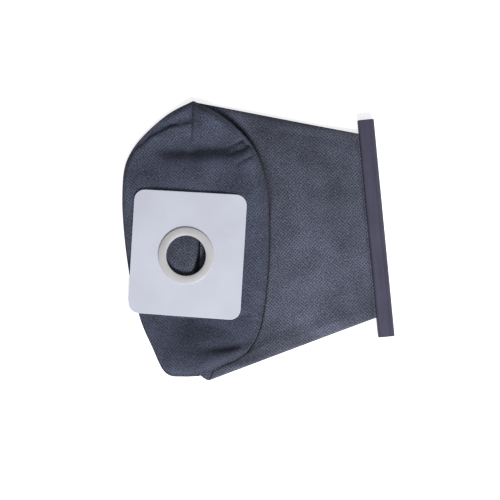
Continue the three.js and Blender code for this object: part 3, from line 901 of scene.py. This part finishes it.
def closingClip():
    w, h, wall, mouth = clip["width"], bag["clipHeight"] / 2, clip["wall"], clip["mouth"] / 2
    groove, grooveHalf = w - clip["grooveFromSpine"], clip["grooveWidth"] / 2
    lip, spine, grooveEdge, mouthEdge, inner = (
        clip[key] for key in ("lip", "spine", "grooveEdge", "mouthEdge", "wallEdge"))
    corners = [  # across the clip, height from its middle, rounding
        (0, -h, lip), (w, -h, spine), (w, h, spine),
        (groove + grooveHalf, h, grooveEdge), (groove, h - clip["grooveDepth"], clip["grooveBottom"]),
        (groove - grooveHalf, h, grooveEdge), (0, h, lip),
        (0, mouth, mouthEdge), (wall, mouth, inner), (wall, h - wall, inner),
        (w - wall, h - wall, spine - wall), (w - wall, -h + wall, spine - wall),
        (wall, -h + wall, inner), (wall, -mouth, inner), (0, -mouth, mouthEdge),
    ]
    lowEnd = bag["clipOffset"] - clip["length"] / 2
    bm = bmesh.new()
    verts = [bm.verts.new(onFrame(bag["tailX"] + x, lowEnd, h + z)) for x, z, _ in corners]
    bm.faces.new(verts)
    for vert, (_, _, radius) in zip(verts, corners):
        segments = 10 if radius > 1 else 3
        bmesh.ops.bevel(bm, geom=[vert], offset=radius * mm, segments=segments, profile=0.5, material=-1,
                        affect="VERTICES")
    made = bmesh.ops.extrude_face_region(bm, geom=list(bm.faces))["geom"]
    far = [g for g in made if isinstance(g, bmesh.types.BMVert)]
    bmesh.ops.translate(bm, verts=far, vec=(0, clip["length"] * mm, 0))
    bmesh.ops.recalc_face_normals(bm, faces=bm.faces)
    caps = [f for f in bm.faces if len(f.verts) > 8]
    rims = list({e for f in caps for e in f.edges})
    bmesh.ops.bevel(bm, geom=rims, offset=clip["edge"] * mm, segments=2, profile=0.5, material=-1,
                    affect="EDGES")
    piece = finishPiece(bm, "clip_channel", clipMaterial(), "clip", clip["sharpAngle"])
    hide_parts("closing_clip")


closingClip()
print("clip made")


def threadMaterial():
    material, tree, shader = newMaterial("sewing thread", stitch["colour"], stitch["roughness"],
                                         Sheen_Weight=0.1)
    giveTones(tree, shader, speckle(tree, placeOn(tree), *stitch["twist"]), stitch)
    return material


def addStitch(bm, middle, along, up):
    across = up.cross(along).normalized()
    turn = Matrix((along.normalized(), across, up.normalized())).transposed().to_4x4()
    thick = stitch["radius"] * mm
    size = Matrix.Diagonal((stitch["length"] / 2 * mm, thick * stitch["flattened"], thick, 1))
    place = Matrix.Translation(middle) @ turn @ size
    bmesh.ops.create_icosphere(bm, subdivisions=1, radius=1, matrix=place)


def seamStitches():
    bm = bmesh.new()
    half = end["rays"] / 2
    for walk in (frontSeam, backSeam):
        count = round(walk.length / stitch["pitch"])
        for n in range(2, count - 1):
            s = n / count
            if walk is frontSeam:
                ray = (s - bag["frontSeamStart"]) / (1 - bag["frontSeamStart"]) * half
            else:
                ray = half + (1 - s) / (1 - bag["backSeamStart"]) * half
            if ray < 0 or ray >= end["rays"]:
                continue
            i = int(ray)
            inset = stitch["inset"] / fromInlet(*rim[i][0].xy)
            j = end["rings"] * (1 - inset)
            # the four grid points round the stitch, and the stitch between them
            corners = [onFrame(*endPoint(i + di, int(j) + dj)[0]) for di in (0, 1) for dj in (0, 1)]
            near, far = corners[0].lerp(corners[2], ray - i), corners[1].lerp(corners[3], ray - i)
            along = corners[2] - corners[0]
            up = along.cross(corners[0] - corners[1])
            if up.z < 0:
                up = -up
            addStitch(bm, near.lerp(far, j - int(j)) + up.normalized() * stitch["lift"] * mm, along, up)
    bmesh.ops.recalc_face_normals(bm, faces=bm.faces)
    finishPiece(bm, "seam_stitches", threadMaterial(), "bag")


seamStitches()
print("seams stitched")

studio = {
    "floor": 1.6, "floorColour": (0.9, 0.9, 0.9), "floorGlow": 0.7,
    "worldStrength": 0.26,
    "lamp": 44.5, "lampSize": 0.63, "lampAt": (0.28, -1.4, 1.239),
    "cameraOver": (-4.32, -11.95), "cameraHeight": 901.2, "cameraTurn": -5.5, "fieldOfView": 27.9,
}


def setFloor():
    bm = bmesh.new()
    bmesh.ops.create_grid(bm, x_segments=1, y_segments=1, size=studio["floor"])
    mesh = bpy.data.meshes.new("floor")
    bm.to_mesh(mesh)
    bm.free()
    floor = addToScene("floor", mesh)
    material, tree, shader = newMaterial("floor", studio["floorColour"], 0.9, Specular_IOR_Level=0.0)
    path = addNode(tree, "ShaderNodeLightPath")
    seen = maths(tree, "MAXIMUM", path.outputs["Is Camera Ray"], path.outputs["Is Glossy Ray"])
    seen = maths(tree, "MAXIMUM", seen, path.outputs["Is Transmission Ray"])
    shader.inputs["Emission Color"].default_value = (1, 1, 1, 1)
    tree.links.new(maths(tree, "MULTIPLY", seen, studio["floorGlow"]), shader.inputs["Emission Strength"])
    mesh.materials.append(material)


def setLights():
    lamp = addToScene("lamp", bpy.data.lights.new("lamp", "AREA"))
    lamp.data.energy = studio["lamp"]
    lamp.data.size = studio["lampSize"]
    lamp.location = studio["lampAt"]
    lamp.rotation_euler = lamp.location.to_track_quat("Z", "Y").to_euler()
    lamp.visible_camera = False
    world = bpy.data.worlds.new("studio")
    bpy.context.scene.world = world
    world.use_nodes = True
    tree = world.node_tree
    sky = tree.nodes["Background"]
    path = addNode(tree, "ShaderNodeLightPath")
    seen = maths(tree, "MAXIMUM", path.outputs["Is Camera Ray"], path.outputs["Is Transmission Ray"])
    strength = addNode(tree, "ShaderNodeMapRange", Value=seen, To_Min=studio["worldStrength"], To_Max=1.0)
    sky.inputs["Color"].default_value = (1, 1, 1, 1)
    tree.links.new(strength.outputs[0], sky.inputs["Strength"])


def setCamera():
    camera = addToScene("camera", bpy.data.cameras.new("camera"))
    camera.data.angle = math.radians(studio["fieldOfView"])
    camera.location = Vector((*studio["cameraOver"], studio["cameraHeight"])) * mm
    camera.rotation_euler = (0, 0, math.radians(studio["cameraTurn"]))
    bpy.context.scene.camera = camera
    bpy.context.scene.view_settings.view_transform = "Standard"


setFloor()
setLights()
setCamera()
print("studio set")
